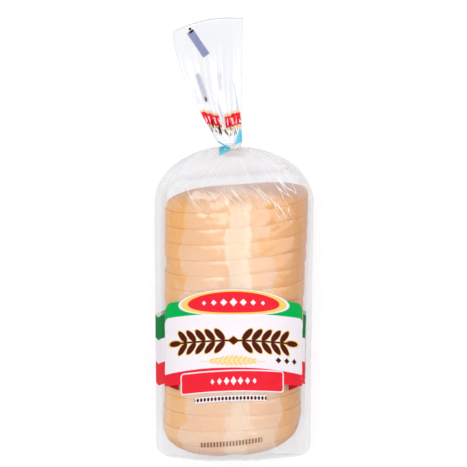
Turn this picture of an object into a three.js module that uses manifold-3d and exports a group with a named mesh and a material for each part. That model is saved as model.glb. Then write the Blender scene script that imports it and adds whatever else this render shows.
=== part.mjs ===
// A sliced loaf of white bread sealed in a clear film bag, lying on its bottom crust.
// The bag's mouth is gathered, tied and flared out into a pleated tail.
// Millimetres. +Z is up, +Y runs from the bag's closed end to its tail, +X is to the right.
// The origin is the middle of the face that the loaf rests on.

import * as THREE from 'three';
import { mergeVertices } from 'three/addons/utils/BufferGeometryUtils.js';
import Module from 'manifold-3d';

// The loaf that fills the bag
const LOAF_LENGTH = 248;
const SLICES = 17;
const SLICE_GROOVE = 1.6; // how far the film sinks between two slices
const SLICE_EDGE = 1.9; // from a groove's bottom to the full height beside it
const GROOVE_SHORT = 1.5; // points between a groove's end and the side fold
const GROOVE_FADE = 3; // points over which it grows to its full depth

// The filled body of the bag, seen from its end
const HALF_WIDTH = 75.5; // to the fold along each side
const FOLD_HEIGHT = 41;
const CROWN_HEIGHT = 103.5;
const FLAT_HALF_WIDTH = 48; // of the face that it rests on
const FOOT = [60.5, 9.5]; // across and up, where the rounding beside that face ends
const FOOT_PULL = [57, 0.4]; // what that rounding bends towards
const UNDER_RIDGE = [1.6, 3.8]; // in and down from the side fold to where its rounding starts
const OVER_RIDGE = [1.4, 4]; // the same above it
const CHEEK = [68.5, 69]; // where the side starts to round over to the crown
const CHEEK_PULL = [62.5, 88];
const CROWN_PULL_X = 38;

// The closed end
const END_Y = -137.5;
const END_CORNER = 11; // radius of the end's corners, seen from above
const END_DEPTH = 30; // over which the end closes down to its fold
const END_LIP = 2; // half the thickness of the folded lip
const END_ANGLES = [2, 12, 25, 40, 56, 74]; // degrees round its curve at which it has a ring

// The shoulder, where the film is drawn in round the neck
const SHOULDER_Y = 110; // where the sides begin to turn in
const SHOULDER_LENGTH = 57;
const DOME_Y = 121; // where the top and bottom begin to turn in
const DOME_LENGTH = 46;
const SHOULDER_RINGS = [117, 123, 129, 135, 141, 147, 152, 156, 159.5, 162.5]; // y of each
const NECK_X = -0.5;
const NECK_HEIGHT = 50;
const NECK_RADIUS = 6;
const NECK_Y = 157; // floor of the dimple that the neck stands in
const DIMPLE = [[164.4, 18.2], [163.4, 15.2], [160, 12.6], [NECK_Y, 10.6]]; // y and radius of its wall
const NECK_FOOT = 0.4; // from the dimple's floor to where the neck is straight
const NECK_PLEAT = 0.05; // depth of the gathers, as a share of the radius
const NECK_PLEAT_STEP = 0.012; // how much less of it each ring down the dimple has
const NECK_PLEAT_POINTS = 4; // points from one gather to the next
const FLARE_RING = { before: 4, wider: 1.6, pleat: 0.04 }; // the last round ring before the tail

// The tie, a flat band with its two ends twisted together
const TIE_WIDTH = 4.2;
const TIE_THICKNESS = 0.9;
const TIE_ENDS_LENGTH = 21;
const TIE_ENDS_WIDTH = 3.4;
const TIE_ENDS_TURNS = 1.25;
const TIE_ENDS_DROP = 30; // degrees below level
const TIE_ENDS_ASIDE = 14; // degrees to the right
const TIE_ENDS_SINK = 0.2; // how far they run into the band
const TIE_SEGMENTS = 32;
const TIE_ENDS_SEGMENTS = 30;
const CLEARANCE = 0.35; // between the film and the tie

// The tail beyond the tie
const FLARE_Y = 169;
const FLARE_HALF_WIDTH = 11.5;
const TAIL_LENGTH = 108.5;
const TAIL_START_X = -3.5;
const TAIL_LEAN = 20.3; // how far the mouth is off to the left of the tail's start
const TAIL_DROOP = 24;
const TAIL_ARCH = 4;
const TAIL_ARCH_TURN = 0.6; // of half a turn, so that the arch is past its top before the mouth
const TAIL_FLARE = 0.7; // share of its widening that comes early
const MOUTH_HALF_WIDTH = 33;
const MOUTH_TURN = 6; // the mouth's left end lies this far back and its right end this far out
const MOUTH_BULGE = 5;
const TAIL_THICKNESS = [9, 3]; // at its start and at its mouth
const PLEAT_DEPTH = 4.2;
const PLEATS = 6;
const PLEAT_START = 1.6; // how many times sooner than the mouth the pleats are at full depth

// How finely the bag is drawn
const QUARTER = 12; // points in each quarter of the way round
const AROUND = 4 * QUARTER;
const TAIL_RINGS = 12;
const SAME_POINT = 1e-4; // points nearer than this are one

const mix = THREE.MathUtils.lerp;
const clamp01 = (t) => THREE.MathUtils.clamp(t, 0, 1);
const dome = (t) => Math.sqrt(Math.max(0, 1 - t * t));

// A wave of straight folds, from -1 to 1, one period for each whole number
const fold = (t) => 4 * Math.abs(t - Math.floor(t + 0.5)) - 1;

/** The filled bag's outline seen from its end, as AROUND points from the bottom's middle by the right. */
function bodyOutline() {
  const point = (x, z) => new THREE.Vector2(x, z);
  const corner = point(FLAT_HALF_WIDTH, 0);
  const foot = point(...FOOT);
  const ridgeLow = point(HALF_WIDTH - UNDER_RIDGE[0], FOLD_HEIGHT - UNDER_RIDGE[1]);
  const ridge = point(HALF_WIDTH, FOLD_HEIGHT);
  const ridgeHigh = point(HALF_WIDTH - OVER_RIDGE[0], FOLD_HEIGHT + OVER_RIDGE[1]);
  const cheek = point(...CHEEK);
  const top = point(0, CROWN_HEIGHT);
  const runs = [
    [new THREE.LineCurve(point(0, 0), corner), 4],
    [new THREE.QuadraticBezierCurve(corner, point(...FOOT_PULL), foot), 3],
    [new THREE.LineCurve(foot, ridgeLow), 4],
    [new THREE.LineCurve(ridgeLow, ridge), 1],
    [new THREE.LineCurve(ridge, ridgeHigh), 1],
    [new THREE.LineCurve(ridgeHigh, cheek), 3],
    [new THREE.CubicBezierCurve(cheek, point(...CHEEK_PULL), point(CROWN_PULL_X, CROWN_HEIGHT), top), 8],
  ];
  const half = [point(0, 0)];
  for (const [curve, steps] of runs) {
    half.push(...curve.getSpacedPoints(steps).slice(1));
  }
  const mirrored = half.slice(1, -1).reverse().map((p) => point(-p.x, p.y));
  return [...half, ...mirrored];
}

const OUTLINE = bodyOutline();
const angleOf = (k) => (k / AROUND) * 2 * Math.PI - Math.PI / 2;
const gathered = (k, depth) => 1 - depth * (1 + fold(k / NECK_PLEAT_POINTS));

/** How far a groove between slices reaches at point k: none on the resting face and on the side folds. */
function grooveShare(k) {
  const fromTop = Math.abs(k - 2 * QUARTER);
  return clamp01((QUARTER - GROOVE_SHORT - fromTop) / GROOVE_FADE);
}

/** A ring of the body or the shoulder at one place along the loaf. */
function bodyRing(y, groove = 0) {
  const endShare = clamp01((END_Y + END_DEPTH - y) / END_DEPTH);
  const cornerShare = clamp01((END_Y + END_CORNER - y) / END_CORNER);
  const shoulderShare = clamp01((y - SHOULDER_Y) / SHOULDER_LENGTH);
  const domeShare = clamp01((y - DOME_Y) / DOME_LENGTH);
  const halfWidth = (HALF_WIDTH - END_CORNER * (1 - dome(cornerShare))) * dome(shoulderShare);
  const middle = mix(FOLD_HEIGHT, NECK_HEIGHT, shoulderShare);
  const swell = dome(endShare) * dome(domeShare);
  const above = Math.max(END_LIP, (CROWN_HEIGHT - middle) * swell);
  const below = Math.max(END_LIP, middle * swell);
  const gather = domeShare * domeShare;
  const ring = [];
  for (let k = 0; k < AROUND; k += 1) {
    const p = OUTLINE[k];
    const aboveFold = (p.y - FOLD_HEIGHT) / (CROWN_HEIGHT - FOLD_HEIGHT);
    const up = aboveFold >= 0 ? aboveFold : p.y / FOLD_HEIGHT - 1;
    const angle = angleOf(k);
    const pleat = gathered(k, NECK_PLEAT * gather);
    const across = mix(p.x / HALF_WIDTH, Math.cos(angle), gather) * halfWidth * pleat;
    const height = mix(up, Math.sin(angle), gather) * pleat;
    const sink = groove * grooveShare(k);
    const draw = 1 - sink / CROWN_HEIGHT;
    const z = middle + height * (height > 0 ? above - sink : below);
    ring.push(new THREE.Vector3(NECK_X * shoulderShare + across * draw, y, z));
  }
  return ring;
}

/** A round ring about the neck. */
function neckRing(y, radius, pleat = 0) {
  return OUTLINE.map((_, k) => {
    const r = radius * gathered(k, pleat);
    const angle = angleOf(k);
    return new THREE.Vector3(NECK_X + r * Math.cos(angle), y, NECK_HEIGHT + r * Math.sin(angle));
  });
}

/** A ring of the flat, pleated tail, from 0 just past the tie to 1 at the mouth. */
function tailRing(t) {
  const turned = Math.sin((t * Math.PI) / 2);
  const halfWidth = mix(FLARE_HALF_WIDTH, MOUTH_HALF_WIDTH, mix(t, turned, TAIL_FLARE));
  const thickness = mix(TAIL_THICKNESS[0], TAIL_THICKNESS[1], Math.sqrt(t));
  const pleatDepth = PLEAT_DEPTH * clamp01(t * PLEAT_START) ** 0.7;
  const centre = new THREE.Vector3(
    TAIL_START_X - TAIL_LEAN * turned,
    FLARE_Y + TAIL_LENGTH * t,
    NECK_HEIGHT + TAIL_ARCH * Math.sin(t * Math.PI * TAIL_ARCH_TURN) - TAIL_DROOP * t * t,
  );
  const ring = [];
  for (let k = 0; k < AROUND; k += 1) {
    const upper = k > QUARTER && k < 3 * QUARTER;
    const fromRight = upper ? k - QUARTER : Math.abs(((k + QUARTER) % AROUND) - 2 * QUARTER);
    const q = 1 - fromRight / QUARTER;
    const leaf = (thickness / 2) * (1 - q ** 4) ** 0.6 * (upper ? 1 : -1);
    const wave = pleatDepth * 0.5 * fold((q * PLEATS) / 2 + 0.25) * (1 - q ** 8);
    ring.push(new THREE.Vector3(
      centre.x + halfWidth * q,
      centre.y + t * t * (MOUTH_TURN * q + MOUTH_BULGE * (1 - q * q)),
      centre.z + leaf + wave,
    ));
  }
  return ring;
}

/** Places along the loaf where its film needs a ring, with how deep the film sinks there. */
function bodyStations() {
  const stations = END_ANGLES.map((degrees) => {
    const angle = THREE.MathUtils.degToRad(degrees);
    return [END_Y + END_DEPTH * (1 - Math.cos(angle)), 0];
  });
  const pitch = LOAF_LENGTH / SLICES;
  for (let i = 1; i < SLICES; i += 1) {
    const y = i * pitch - LOAF_LENGTH / 2;
    stations.push([y - SLICE_EDGE, 0], [y, SLICE_GROOVE], [y + SLICE_EDGE, 0]);
  }
  return [...stations, ...SHOULDER_RINGS.map((y) => [y, 0])];
}

/** A closed mesh through a row of rings, with each end closed from its upper to its lower side. */
function loft(rings) {
  const positions = rings.flatMap((ring) => ring.flatMap((p) => p.toArray()));
  const index = [];
  const quad = (a, b, c, d) => index.push(a, b, c, a, c, d);
  for (let r = 0; r + 1 < rings.length; r += 1) {
    for (let k = 0; k < AROUND; k += 1) {
      const next = (k + 1) % AROUND;
      quad(r * AROUND + k, r * AROUND + next, (r + 1) * AROUND + next, (r + 1) * AROUND + k);
    }
  }
  const cap = (start, flip) => {
    for (let j = 0; j < 2 * QUARTER; j += 1) {
      const upper = [QUARTER + j, QUARTER + j + 1];
      const lower = [QUARTER - j, QUARTER - j - 1].map((k) => (k + AROUND) % AROUND);
      const corners = [upper[0], upper[1], lower[1], lower[0]].filter((k, i, all) => all.indexOf(k) === i);
      if (flip) {
        corners.reverse();
      }
      for (let i = 2; i < corners.length; i += 1) {
        index.push(start + corners[0], start + corners[i - 1], start + corners[i]);
      }
    }
  };
  cap(0, true);
  cap((rings.length - 1) * AROUND, false);
  const geometry = new THREE.BufferGeometry();
  geometry.setAttribute('position', new THREE.Float32BufferAttribute(positions, 3));
  geometry.setIndex(facingOut(positions, index));
  geometry.computeVertexNormals();
  return geometry;
}

/** The same triangles, turned over if they enclose a negative volume. */
function facingOut(positions, index) {
  const at = (i) => new THREE.Vector3().fromArray(positions, 3 * i);
  let volume = 0;
  for (let i = 0; i < index.length; i += 3) {
    volume += at(index[i]).dot(at(index[i + 1]).cross(at(index[i + 2])));
  }
  return volume > 0 ? index : index.reverse();
}

/** The filled bag from its closed end, over the shoulder and the tied neck, to the tail's mouth. */
function bagGeometry() {
  const rings = bodyStations().map(([y, groove]) => bodyRing(y, groove));
  rings.push(...DIMPLE.map(([y, radius], i) => neckRing(y, radius, NECK_PLEAT - NECK_PLEAT_STEP * i)));
  rings.push(neckRing(NECK_Y + NECK_FOOT, NECK_RADIUS));
  rings.push(neckRing(NECK_Y + TIE_WIDTH + 3 * CLEARANCE, NECK_RADIUS));
  rings.push(neckRing(FLARE_Y - FLARE_RING.before, NECK_RADIUS + FLARE_RING.wider, FLARE_RING.pleat));
  for (let i = 0; i <= TAIL_RINGS; i += 1) {
    rings.push(tailRing(i / TAIL_RINGS));
  }
  return loft(rings);
}

/** The tie: a flat band round the neck, with its two ends twisted together below the tail. */
async function tieGeometry() {
  const inner = NECK_RADIUS + CLEARANCE;
  const outer = inner + TIE_THICKNESS;
  const middleY = NECK_Y + 2 * CLEARANCE + TIE_WIDTH / 2;
  const low = middleY - TIE_WIDTH / 2;
  const high = middleY + TIE_WIDTH / 2;
  const corners = [[inner, low], [outer, low], [outer, high], [inner, high], [inner, low]];
  const section = corners.map(([radius, y]) => new THREE.Vector2(radius, y));
  const band = new THREE.LatheGeometry(section, TIE_SEGMENTS);
  band.translate(NECK_X, 0, NECK_HEIGHT);

  const thickness = TIE_THICKNESS + TIE_ENDS_SINK;
  const ends = new THREE.BoxGeometry(TIE_ENDS_WIDTH, TIE_ENDS_LENGTH, thickness, 2, TIE_ENDS_SEGMENTS, 1);
  const place = ends.getAttribute('position');
  const lengthways = new THREE.Vector3(0, 1, 0);
  const p = new THREE.Vector3();
  for (let i = 0; i < place.count; i += 1) {
    p.fromBufferAttribute(place, i);
    p.applyAxisAngle(lengthways, (p.y / TIE_ENDS_LENGTH + 0.5) * TIE_ENDS_TURNS * 2 * Math.PI);
    place.setXYZ(i, p.x, p.y, p.z);
  }
  ends.translate(0, TIE_ENDS_LENGTH / 2, 0);
  ends.rotateX(-THREE.MathUtils.degToRad(TIE_ENDS_DROP));
  ends.rotateZ(-THREE.MathUtils.degToRad(TIE_ENDS_ASIDE));
  ends.translate(NECK_X, middleY, NECK_HEIGHT - outer + TIE_ENDS_SINK);
  return joined([band, ends]);
}

/** Several closed geometries as one. */
async function joined(geometries) {
  const wasm = await Module();
  wasm.setup();
  const solids = geometries.map((geometry) => {
    const bare = geometry.clone();
    bare.deleteAttribute('normal');
    bare.deleteAttribute('uv');
    const merged = mergeVertices(bare, SAME_POINT);
    const vertProperties = new Float32Array(merged.getAttribute('position').array);
    return new wasm.Manifold(new wasm.Mesh({
      numProp: 3,
      vertProperties,
      triVerts: new Uint32Array(facingOut(vertProperties, [...merged.index.array])),
    }));
  });
  const mesh = solids.reduce((a, b) => a.add(b)).getMesh();
  const geometry = new THREE.BufferGeometry();
  geometry.setAttribute('position', new THREE.BufferAttribute(mesh.vertProperties, 3));
  geometry.setIndex(new THREE.BufferAttribute(mesh.triVerts, 1));
  geometry.computeVertexNormals();
  return geometry;
}

/** A named mesh in one plain material. */
function piece(name, geometry, color, roughness) {
  const mesh = new THREE.Mesh(geometry, new THREE.MeshStandardMaterial({ color, roughness, metalness: 0 }));
  mesh.name = name;
  return mesh;
}

const loafInBag = new THREE.Group();
loafInBag.name = 'loaf_in_bag';
loafInBag.add(piece('bag', bagGeometry(), 0xecc794, 0.35));
loafInBag.add(piece('tie', await tieGeometry(), 0xf4f4f2, 0.6));

export default loafInBag;
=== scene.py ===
"""A sliced loaf in a clear, printed bread bag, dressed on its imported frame.

Metres, with +Z up and +Y from the bag's closed end to its tail, as in the frame.
"""

from __future__ import annotations

import logging
import math
import random
from dataclasses import dataclass, field
from enum import Enum

import bmesh
import bpy
import numpy as np
from mathutils import Matrix, Vector, noise


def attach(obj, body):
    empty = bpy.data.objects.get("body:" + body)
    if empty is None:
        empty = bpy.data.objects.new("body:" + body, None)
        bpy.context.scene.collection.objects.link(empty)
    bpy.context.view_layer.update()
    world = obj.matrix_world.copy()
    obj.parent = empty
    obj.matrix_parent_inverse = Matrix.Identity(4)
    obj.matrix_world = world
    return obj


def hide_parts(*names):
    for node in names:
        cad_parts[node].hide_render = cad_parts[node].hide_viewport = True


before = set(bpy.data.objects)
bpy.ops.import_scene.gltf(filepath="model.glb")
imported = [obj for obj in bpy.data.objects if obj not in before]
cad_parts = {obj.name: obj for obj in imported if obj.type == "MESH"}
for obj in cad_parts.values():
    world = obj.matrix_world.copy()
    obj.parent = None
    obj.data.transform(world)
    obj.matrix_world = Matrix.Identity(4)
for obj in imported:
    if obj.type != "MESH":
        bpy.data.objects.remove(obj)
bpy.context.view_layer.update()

MM = 0.001
ROOT = "root"
LEAST_COVER = 0.001
log = logging.getLogger("loaf_in_bag")

Pair = tuple[float, float]
Colour = tuple[float, float, float]
Number = "Term | float"
Place = "tuple[Term, Term, Term]"


class Slot(Enum):
    """The material slots' names, logged with each piece."""

    FILM = "clear_film"
    BREAD = "bread"
    TIE = "tie_paper"


def tint(red: int, green: int, blue: int) -> Colour:
    """Turns a colour as a screen shows it into the light that it stands for.

    Args:
        red: From 0 to 255.
        green: From 0 to 255.
        blue: From 0 to 255.

    Returns:
        The three linear values, from 0 to 1.
    """
    shares = (red / 255, green / 255, blue / 255)
    return tuple(c / 12.92 if c <= 0.04045 else ((c + 0.055) / 1.055) ** 2.4 for c in shares)


def smooth(low: float, high: float, at: np.ndarray | float) -> np.ndarray:
    """Rises smoothly from 0 at low to 1 at high."""
    t = np.clip((np.asarray(at, dtype=float) - low) / (high - low), 0, 1)
    return t * t * (3 - 2 * t)


def dome(at: np.ndarray | float) -> np.ndarray:
    """The height of a quarter circle: 1 at 0, falling to 0 at 1."""
    return np.sqrt(np.clip(1 - np.square(at), 0, 1))


def zigzag(at: np.ndarray) -> np.ndarray:
    """Straight folds from -1 to 1, one period for each whole number."""
    return 4 * np.abs(at - np.floor(at + 0.5)) - 1


def add_mesh(bm: bmesh.types.BMesh, name: str) -> bpy.types.Mesh:
    """Turns finished geometry into a mesh of that name."""
    mesh = bpy.data.meshes.new(name)
    bm.to_mesh(mesh)
    bm.free()
    return mesh


def add_object(name: str, data: bpy.types.ID) -> bpy.types.Object:
    """Puts an object with that mesh, light or camera into the scene."""
    made = bpy.data.objects.new(name, data)
    bpy.context.scene.collection.objects.link(made)
    return made


# Shader graphs


class Term:
    """A value in a shader graph, on which Python's arithmetic adds Math nodes."""

    def __init__(self, graph: Graph, socket: bpy.types.NodeSocket) -> None:
        """Keeps the graph and the socket that gives the value."""
        self.graph = graph
        self.socket = socket

    def math(self, operation: str, *others: Number, clamp: bool = False) -> Term:
        """Adds a Math node whose first input is this value.

        Args:
            operation: The node's operation.
            others: What goes into its other inputs.
            clamp: Whether the result is kept between 0 and 1.

        Returns:
            The node's result.
        """
        node = self.graph.add("ShaderNodeMath", operation=operation, use_clamp=clamp)
        for socket, value in zip(node.inputs, (self, *others)):
            self.graph.feed(socket, value)
        return Term(self.graph, node.outputs[0])

    def __add__(self, other: Number) -> Term:
        """This value and another."""
        return self.math("ADD", other)

    def __sub__(self, other: Number) -> Term:
        """This value less another."""
        return self.math("SUBTRACT", other)

    def __rsub__(self, other: float) -> Term:
        """A number less this value."""
        return self.math("MULTIPLY_ADD", -1.0, other)

    def __mul__(self, other: Number) -> Term:
        """This value times another."""
        return self.math("MULTIPLY", other)

    def __truediv__(self, other: Number) -> Term:
        """This value over another."""
        return self.math("DIVIDE", other)

    __radd__ = __add__
    __rmul__ = __mul__

    def __neg__(self) -> Term:
        """This value with its sign changed."""
        return self * -1.0

    def __abs__(self) -> Term:
        """This value without its sign."""
        return self.math("ABSOLUTE")

    def both(self, other: Number) -> Term:
        """The lesser of two values: where two masks both cover."""
        return self.math("MINIMUM", other)

    def either(self, other: Number) -> Term:
        """The greater of two values: where one mask or the other covers."""
        return self.math("MAXIMUM", other)

    def square(self) -> Term:
        """This value times itself."""
        return self.math("MULTIPLY", self)

    def under(self, limit: Number, blur: float) -> Term:
        """A mask of where this value is less than a limit.

        Args:
            limit: The limit.
            blur: Over how much the mask fades.

        Returns:
            1 below the limit and 0 above it.
        """
        if isinstance(limit, Term):
            return (limit - self).math("MULTIPLY_ADD", 1 / blur, 0.5, clamp=True)
        return self.math("MULTIPLY_ADD", -1 / blur, limit / blur + 0.5, clamp=True)

    def over(self, limit: float, blur: float) -> Term:
        """A mask of where this value is more than a limit."""
        return self.math("MULTIPLY_ADD", 1 / blur, 0.5 - limit / blur, clamp=True)

    def rise(self, low: float, high: float) -> Term:
        """Rises evenly from 0 at low to 1 at high."""
        return self.math("MULTIPLY_ADD", 1 / (high - low), -low / (high - low), clamp=True)


class Graph:
    """A material's node tree, with short ways to add the nodes that the finishes share."""

    def __init__(self, name: str) -> None:
        """Starts an empty material of that name."""
        self.material = bpy.data.materials.new(name)
        self.material.use_nodes = True
        self.tree = self.material.node_tree
        self.tree.nodes.clear()

    def add(self, kind: str, **settings: object) -> bpy.types.Node:
        """Adds a node.

        Args:
            kind: Its type name.
            settings: Its properties.

        Returns:
            The node.
        """
        node = self.tree.nodes.new(kind)
        for name, value in settings.items():
            setattr(node, name, value)
        return node

    def feed(self, socket: bpy.types.NodeSocket, value: object) -> None:
        """Gives an input a plain value, a Term, or another node's output."""
        if isinstance(value, Term):
            self.tree.links.new(value.socket, socket)
        elif isinstance(value, bpy.types.NodeSocket):
            self.tree.links.new(value, socket)
        elif isinstance(value, tuple) and len(value) == 3 and socket.type == "RGBA":
            socket.default_value = (*value, 1.0)
        else:
            socket.default_value = value

    def wire(self, kind: str, inputs: dict[str, object], **settings: object) -> bpy.types.Node:
        """Adds a node and feeds its named inputs.

        Args:
            kind: The node's type name.
            inputs: What goes into each named input.
            settings: The node's properties.

        Returns:
            The node.
        """
        node = self.add(kind, **settings)
        for name, value in inputs.items():
            self.feed(node.inputs[name], value)
        return node

    def place(self) -> Place:
        """Where the point lies in the frame, as x, y and z in millimetres."""
        coordinates = self.add("ShaderNodeTexCoord").outputs["Object"]
        split = self.wire("ShaderNodeSeparateXYZ", {"Vector": coordinates})
        return tuple(Term(self, out) * (1 / MM) for out in split.outputs)

    def attribute(self, name: str) -> Term:
        """A number that the mesh carries under that name."""
        return Term(self, self.add("ShaderNodeAttribute", attribute_name=name).outputs["Fac"])

    def vector(self, x: Number, y: Number, z: Number) -> bpy.types.NodeSocket:
        """Joins three values to a vector."""
        return self.wire("ShaderNodeCombineXYZ", {"X": x, "Y": y, "Z": z}).outputs[0]

    def noise(self, at: bpy.types.NodeSocket, size: float, detail: float = 3.0, rough: float = 0.55) -> Term:
        """Smooth noise about 0.

        Args:
            at: Where it is read, in millimetres.
            size: How large its patches are, in millimetres.
            detail: How many finer layers it has.
            rough: How strong each finer layer is.

        Returns:
            The noise, mostly between -1 and 1.
        """
        inputs = {"Vector": at, "Scale": 1 / size, "Detail": detail, "Roughness": rough}
        node = self.wire("ShaderNodeTexNoise", inputs)
        return Term(self, node.outputs["Fac"]).math("MULTIPLY_ADD", 3.0, -1.5)

    def creases(self, at: bpy.types.NodeSocket, size: float) -> Term:
        """How far the point is from the nearest edge of a net of cells, in shares of a cell.

        Args:
            at: Where it is read, in millimetres.
            size: How large the cells are, in millimetres.

        Returns:
            The distance, 0 on an edge.
        """
        inputs = {"Vector": at, "Scale": 1 / size, "Randomness": 1.0}
        node = self.wire("ShaderNodeTexVoronoi", inputs, feature="DISTANCE_TO_EDGE")
        return Term(self, node.outputs["Distance"])

    def blend(self, share: Number, first: object, second: object) -> bpy.types.NodeSocket:
        """Mixes two colours.

        Args:
            share: How much of the second one shows.
            first: A colour or the output that gives it.
            second: A colour or the output that gives it.

        Returns:
            The mixed colour's output.
        """
        node = self.add("ShaderNodeMix", data_type="RGBA", clamp_factor=True)
        self.feed(node.inputs[0], share)
        self.feed(node.inputs[6], first)
        self.feed(node.inputs[7], second)
        return node.outputs[2]

    def bump(self, height: Term, distance: float, strength: float = 1.0) -> bpy.types.NodeSocket:
        """Small relief.

        Args:
            height: The height, from 0 to 1.
            distance: The height of 1, in metres.
            strength: How much of it shows.

        Returns:
            The relief's normal.
        """
        inputs = {"Height": height, "Distance": distance, "Strength": strength}
        return self.wire("ShaderNodeBump", inputs).outputs["Normal"]

    def surface(self, shader: bpy.types.NodeSocket) -> bpy.types.Material:
        """Ends the graph with that shader and gives its material."""
        self.wire("ShaderNodeOutputMaterial", {"Surface": shader})
        return self.material


# Finishes


@dataclass(frozen=True)
class Zone:
    """A soft-edged zone of a finish: its limit, how far it fades, its strength and how ragged it is."""

    limit: float
    blur: float
    share: float = 1.0
    ragged: float = 0.0

    def under(self, value: Term, noise: Term | None = None) -> Term:
        """A mask of where a value is less than the limit, with noise along the edge."""
        value = value if noise is None else value - noise * self.ragged
        return value.under(self.limit, self.blur) * self.share

    def over(self, value: Term, noise: Term | None = None) -> Term:
        """A mask of where a value is more than the limit, with noise along the edge."""
        value = value if noise is None else value + noise * self.ragged
        return value.over(self.limit, self.blur) * self.share


@dataclass(frozen=True)
class BreadFinish:
    """Baked crust with a paler split along the crown, and crumb where a slice was cut.

    Sizes and limits are in millimetres. The crust gets browner down its sides and at its base,
    and paler towards the closed end. Painted shade darkens its right side, and its ends where
    the crust curves down.
    """

    golden: Colour = tint(246, 178, 84)
    pale: Colour = tint(248, 198, 140)
    brown: Colour = tint(212, 142, 86)
    dark: Colour = tint(172, 100, 54)
    cream: Colour = tint(255, 226, 188)
    crumb: Colour = tint(250, 232, 204)
    blotch_size: float = 46.0
    patch_size: float = 13.0
    grain_size: float = 2.2
    pore_size: float = 1.9
    lightness: float = 0.47
    paling: float = 0.0034
    sides: Zone = Zone(66.0, 34.0, 0.75, ragged=4.0)
    # Painted shade: the slope lifts the sides' brown higher on the right, and the right zone darkens the
    # right side.
    painted_shade_slope: float = 0.24
    right: Zone = Zone(42.0, 40.0, 0.6)
    base: Zone = Zone(16.0, 14.0, 0.8, ragged=3.0)
    # Painted shade at the ends, where the crust curves down; the same zone roughens the relief there.
    ends: Zone = Zone(118.0, 14.0, ragged=2.0)
    ends_middle: float = 5.0
    ends_share: float = 0.55
    ends_rough: float = 1.2
    specks: Zone = Zone(0.25, 0.5, 0.16)
    cut: Zone = Zone(1.5, 1.3, ragged=0.25)
    pores: Zone = Zone(0.12, 0.2, 0.6)
    split_wander: float = 3.0
    split_wander_size: float = 26.0
    split_crown: Zone = Zone(84.0, 10.0)
    split_faint: Zone = Zone(-62.0, 12.0, 0.3)
    split_stop: Zone = Zone(117.0, 10.0)
    split_torn: Zone = Zone(0.55, 0.5, 0.45)
    split_least: float = 0.42
    split_blur: float = 2.6
    roughness: float = 0.72
    gloss: float = 0.3
    relief: float = 0.7 * MM

    def build(self) -> bpy.types.Material:
        """Makes the material.

        Returns:
            The bread's material, which reads each slice's tone, split and depth.
        """
        graph = Graph("bread")
        x, y, z = graph.place()
        at = graph.vector(x, y, z)
        tone = graph.attribute("tone")
        large = graph.noise(at, self.blotch_size, 2.0)
        patch = graph.noise(at, self.patch_size, 4.0, 0.6)
        fine = graph.noise(at, self.grain_size, 5.0, 0.65)

        lightness = large * 0.55 + patch * 0.3 + tone * 0.5 - y * self.paling
        lightness = lightness.math("ADD", self.lightness, clamp=True)
        crust = graph.blend(lightness, self.golden, self.pale)
        # Painted shade on the right side: the sides' brown climbs higher there and the right zone darkens it.
        sides = self.sides.under(z - x * self.painted_shade_slope, patch)
        crust = graph.blend(sides.either(self.right.over(x)), crust, self.brown)
        crust = graph.blend(self.base.under(z, patch), crust, self.dark)
        # Painted shade: the ends are darker where the crust curves down.
        ends = self.ends.over(abs(y - self.ends_middle), patch)
        crust = graph.blend(ends * self.ends_share, crust, self.brown)
        crust = graph.blend(self.specks.over(fine), crust, self.brown)
        crust = graph.blend(self._split(graph, (x, y, z), patch, fine), crust, self.cream)

        cut = self.cut.over(graph.attribute("depth"), fine)
        colour = graph.blend(cut, crust, self.crumb)
        baked = (fine * 0.25 + patch * 0.3) * (ends * self.ends_rough + 1.0) + 0.5
        height = baked * (1.0 - cut) + self.pores.over(graph.creases(at, self.pore_size)) * cut
        inputs = {
            "Base Color": colour,
            "Roughness": self.roughness,
            "Specular IOR Level": self.gloss,
            "Normal": graph.bump(height, self.relief),
        }
        return graph.surface(graph.wire("ShaderNodeBsdfPrincipled", inputs).outputs[0])

    def _split(self, graph: Graph, place: Place, patch: Term, fine: Term) -> Term:
        """Where the crown split open in the oven.

        Args:
            graph: The graph that it goes in.
            place: Where the point lies.
            patch: Noise of the size of a thumb.
            fine: Noise of the size of a crumb.

        Returns:
            A mask of the split.
        """
        x, y, z = place
        wander = graph.noise(graph.vector(y, 7.0, 0.0), self.split_wander_size, 3.0)
        off = abs(x - graph.attribute("split_at") - wander * self.split_wander)
        width = graph.attribute("split_wide") + patch * 3.6 + fine * 1.2
        torn = self.split_torn.under(fine * 0.5 + patch * 0.5) + self.split_least
        shown = torn * (1.0 - self.split_faint.under(y)) * self.split_stop.under(y)
        return off.under(width, self.split_blur) * self.split_crown.over(z) * shown


@dataclass(frozen=True)
class PaperFinish:
    """The tie's plain white paper over its wire."""

    paper: Colour = tint(246, 246, 244)
    grey: Colour = tint(214, 214, 216)
    fibre_size: float = 0.9
    fibres: Zone = Zone(0.1, 0.8, 0.5)
    roughness: float = 0.6
    relief: float = 0.12 * MM

    def build(self) -> bpy.types.Material:
        """Makes the material."""
        graph = Graph("tie_paper")
        fibre = graph.noise(graph.vector(*graph.place()), self.fibre_size, 4.0)
        inputs = {
            "Base Color": graph.blend(self.fibres.over(fibre), self.paper, self.grey),
            "Roughness": self.roughness,
            "Normal": graph.bump(fibre, self.relief),
        }
        return graph.surface(graph.wire("ShaderNodeBsdfPrincipled", inputs).outputs[0])


@dataclass(frozen=True)
class FloorFinish:
    """The studio's pale floor, which glows a little, so that shade on it stays soft and cool."""

    pale: Colour = (0.25, 0.27, 0.2)
    shade: Colour = (0.945, 0.92, 1.0)
    glow: float = 0.82
    roughness: float = 0.9
    gloss: float = 0.1

    def build(self) -> bpy.types.Material:
        """Makes the material."""
        graph = Graph("floor")
        inputs = {
            "Base Color": self.pale,
            "Roughness": self.roughness,
            "Specular IOR Level": self.gloss,
            "Emission Color": self.shade,
            "Emission Strength": self.glow,
        }
        return graph.surface(graph.wire("ShaderNodeBsdfPrincipled", inputs).outputs[0])


# The film and its print


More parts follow.
